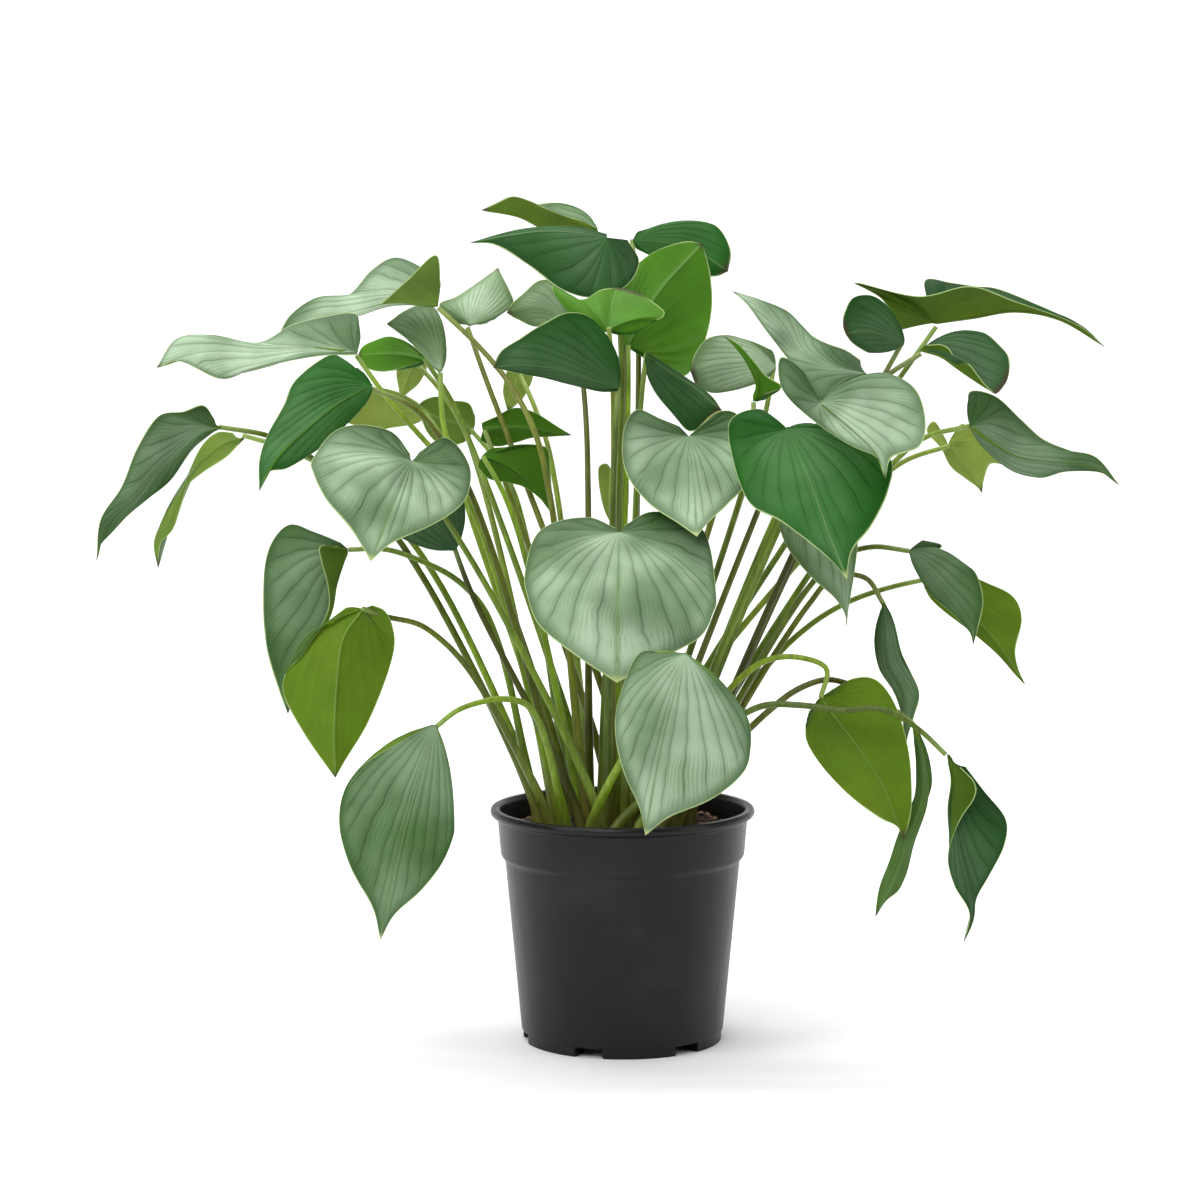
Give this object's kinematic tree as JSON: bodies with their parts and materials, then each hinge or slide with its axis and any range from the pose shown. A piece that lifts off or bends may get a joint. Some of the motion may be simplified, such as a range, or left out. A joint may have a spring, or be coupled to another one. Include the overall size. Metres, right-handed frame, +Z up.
{
  "type": "potted plant",
  "caption": "Aroid house plant with long arching stalks and pleated, drip-tipped heart leaves, in a plain round nursery pot with soil.",
  "frame": {"origin": "on the floor under the middle of the plant, which is the pot's axis to within a few millimetres", "axes": "+Z up, -Y the front of the plant as pictured, +X to the right"},
  "size_m": [0.8052, 0.4784, 0.6727],
  "materials": {
    "pot": "satin black injection-moulded plastic",
    "soil": "dark peat mix with bark chips",
    "leaf_01": "waxy leaf with pressed veins and a juicy green stalk",
    "leaf_02": "waxy leaf with pressed veins and a juicy green stalk",
    "leaf_03": "waxy leaf with pressed veins and a juicy green stalk",
    "leaf_04": "waxy leaf with pressed veins and a juicy green stalk",
    "leaf_05": "waxy leaf with pressed veins and a juicy green stalk",
    "leaf_06": "waxy leaf with pressed veins and a juicy green stalk",
    "leaf_07": "waxy leaf with pressed veins and a juicy green stalk",
    "leaf_08": "waxy leaf with pressed veins and a juicy green stalk",
    "leaf_09": "waxy leaf with pressed veins and a juicy green stalk",
    "leaf_10": "waxy leaf with pressed veins and a juicy green stalk",
    "leaf_11": "waxy leaf with pressed veins and a juicy green stalk",
    "leaf_12": "waxy leaf with pressed veins and a juicy green stalk",
    "leaf_13": "waxy leaf with pressed veins and a juicy green stalk",
    "leaf_14": "waxy leaf with pressed veins and a juicy green stalk",
    "leaf_15": "waxy leaf with pressed veins and a juicy green stalk",
    "leaf_16": "waxy leaf with pressed veins and a juicy green stalk",
    "leaf_17": "waxy leaf with pressed veins and a juicy green stalk",
    "leaf_18": "waxy leaf with pressed veins and a juicy green stalk",
    "leaf_19": "waxy leaf with pressed veins and a juicy green stalk",
    "leaf_20": "waxy leaf with pressed veins and a juicy green stalk",
    "leaf_21": "waxy leaf with pressed veins and a juicy green stalk",
    "leaf_22": "waxy leaf with pressed veins and a juicy green stalk",
    "leaf_23": "waxy leaf with pressed veins and a juicy green stalk",
    "leaf_24": "waxy leaf with pressed veins and a juicy green stalk",
    "leaf_25": "waxy leaf with pressed veins and a juicy green stalk",
    "leaf_26": "waxy leaf with pressed veins and a juicy green stalk",
    "leaf_27": "waxy leaf with pressed veins and a juicy green stalk",
    "leaf_28": "waxy leaf with pressed veins and a juicy green stalk",
    "leaf_29": "waxy leaf with pressed veins and a juicy green stalk",
    "leaf_30": "waxy leaf with pressed veins and a juicy green stalk",
    "leaf_31": "waxy leaf with pressed veins and a juicy green stalk",
    "leaf_32": "waxy leaf with pressed veins and a juicy green stalk",
    "leaf_33": "waxy leaf with pressed veins and a juicy green stalk",
    "leaf_34": "waxy leaf with pressed veins and a juicy green stalk",
    "leaf_35": "waxy leaf with pressed veins and a juicy green stalk",
    "leaf_36": "waxy leaf with pressed veins and a juicy green stalk",
    "leaf_37": "waxy leaf with pressed veins and a juicy green stalk",
    "leaf_38": "waxy leaf with pressed veins and a juicy green stalk",
    "leaf_39": "waxy leaf with pressed veins and a juicy green stalk",
    "leaf_40": "waxy leaf with pressed veins and a juicy green stalk",
    "leaf_41": "waxy leaf with pressed veins and a juicy green stalk",
    "leaf_42": "waxy leaf with pressed veins and a juicy green stalk",
    "leaf_43": "waxy leaf with pressed veins and a juicy green stalk",
    "leaf_44": "waxy leaf with pressed veins and a juicy green stalk",
    "leaf_45": "waxy leaf with pressed veins and a juicy green stalk",
    "leaf_46": "waxy leaf with pressed veins and a juicy green stalk",
    "leaf_47": "waxy leaf with pressed veins and a juicy green stalk",
    "leaf_48": "waxy leaf with pressed veins and a juicy green stalk"
  },
  "bodies": {
    "root": {"pot": "pot", "soil": "soil", "leaf_01": "leaf_01", "leaf_02": "leaf_02", "leaf_03": "leaf_03", "leaf_04": "leaf_04", "leaf_05": "leaf_05", "leaf_06": "leaf_06", "leaf_07": "leaf_07", "leaf_08": "leaf_08", "leaf_09": "leaf_09", "leaf_10": "leaf_10", "leaf_11": "leaf_11", "leaf_12": "leaf_12", "leaf_13": "leaf_13", "leaf_14": "leaf_14", "leaf_15": "leaf_15", "leaf_16": "leaf_16", "leaf_17": "leaf_17", "leaf_18": "leaf_18", "leaf_19": "leaf_19", "leaf_20": "leaf_20", "leaf_21": "leaf_21", "leaf_22": "leaf_22", "leaf_23": "leaf_23", "leaf_24": "leaf_24", "leaf_25": "leaf_25", "leaf_26": "leaf_26", "leaf_27": "leaf_27", "leaf_28": "leaf_28", "leaf_29": "leaf_29", "leaf_30": "leaf_30", "leaf_31": "leaf_31", "leaf_32": "leaf_32", "leaf_33": "leaf_33", "leaf_34": "leaf_34", "leaf_35": "leaf_35", "leaf_36": "leaf_36", "leaf_37": "leaf_37", "leaf_38": "leaf_38", "leaf_39": "leaf_39", "leaf_40": "leaf_40", "leaf_41": "leaf_41", "leaf_42": "leaf_42", "leaf_43": "leaf_43", "leaf_44": "leaf_44", "leaf_45": "leaf_45", "leaf_46": "leaf_46", "leaf_47": "leaf_47", "leaf_48": "leaf_48"}
  },
  "joints": []
}
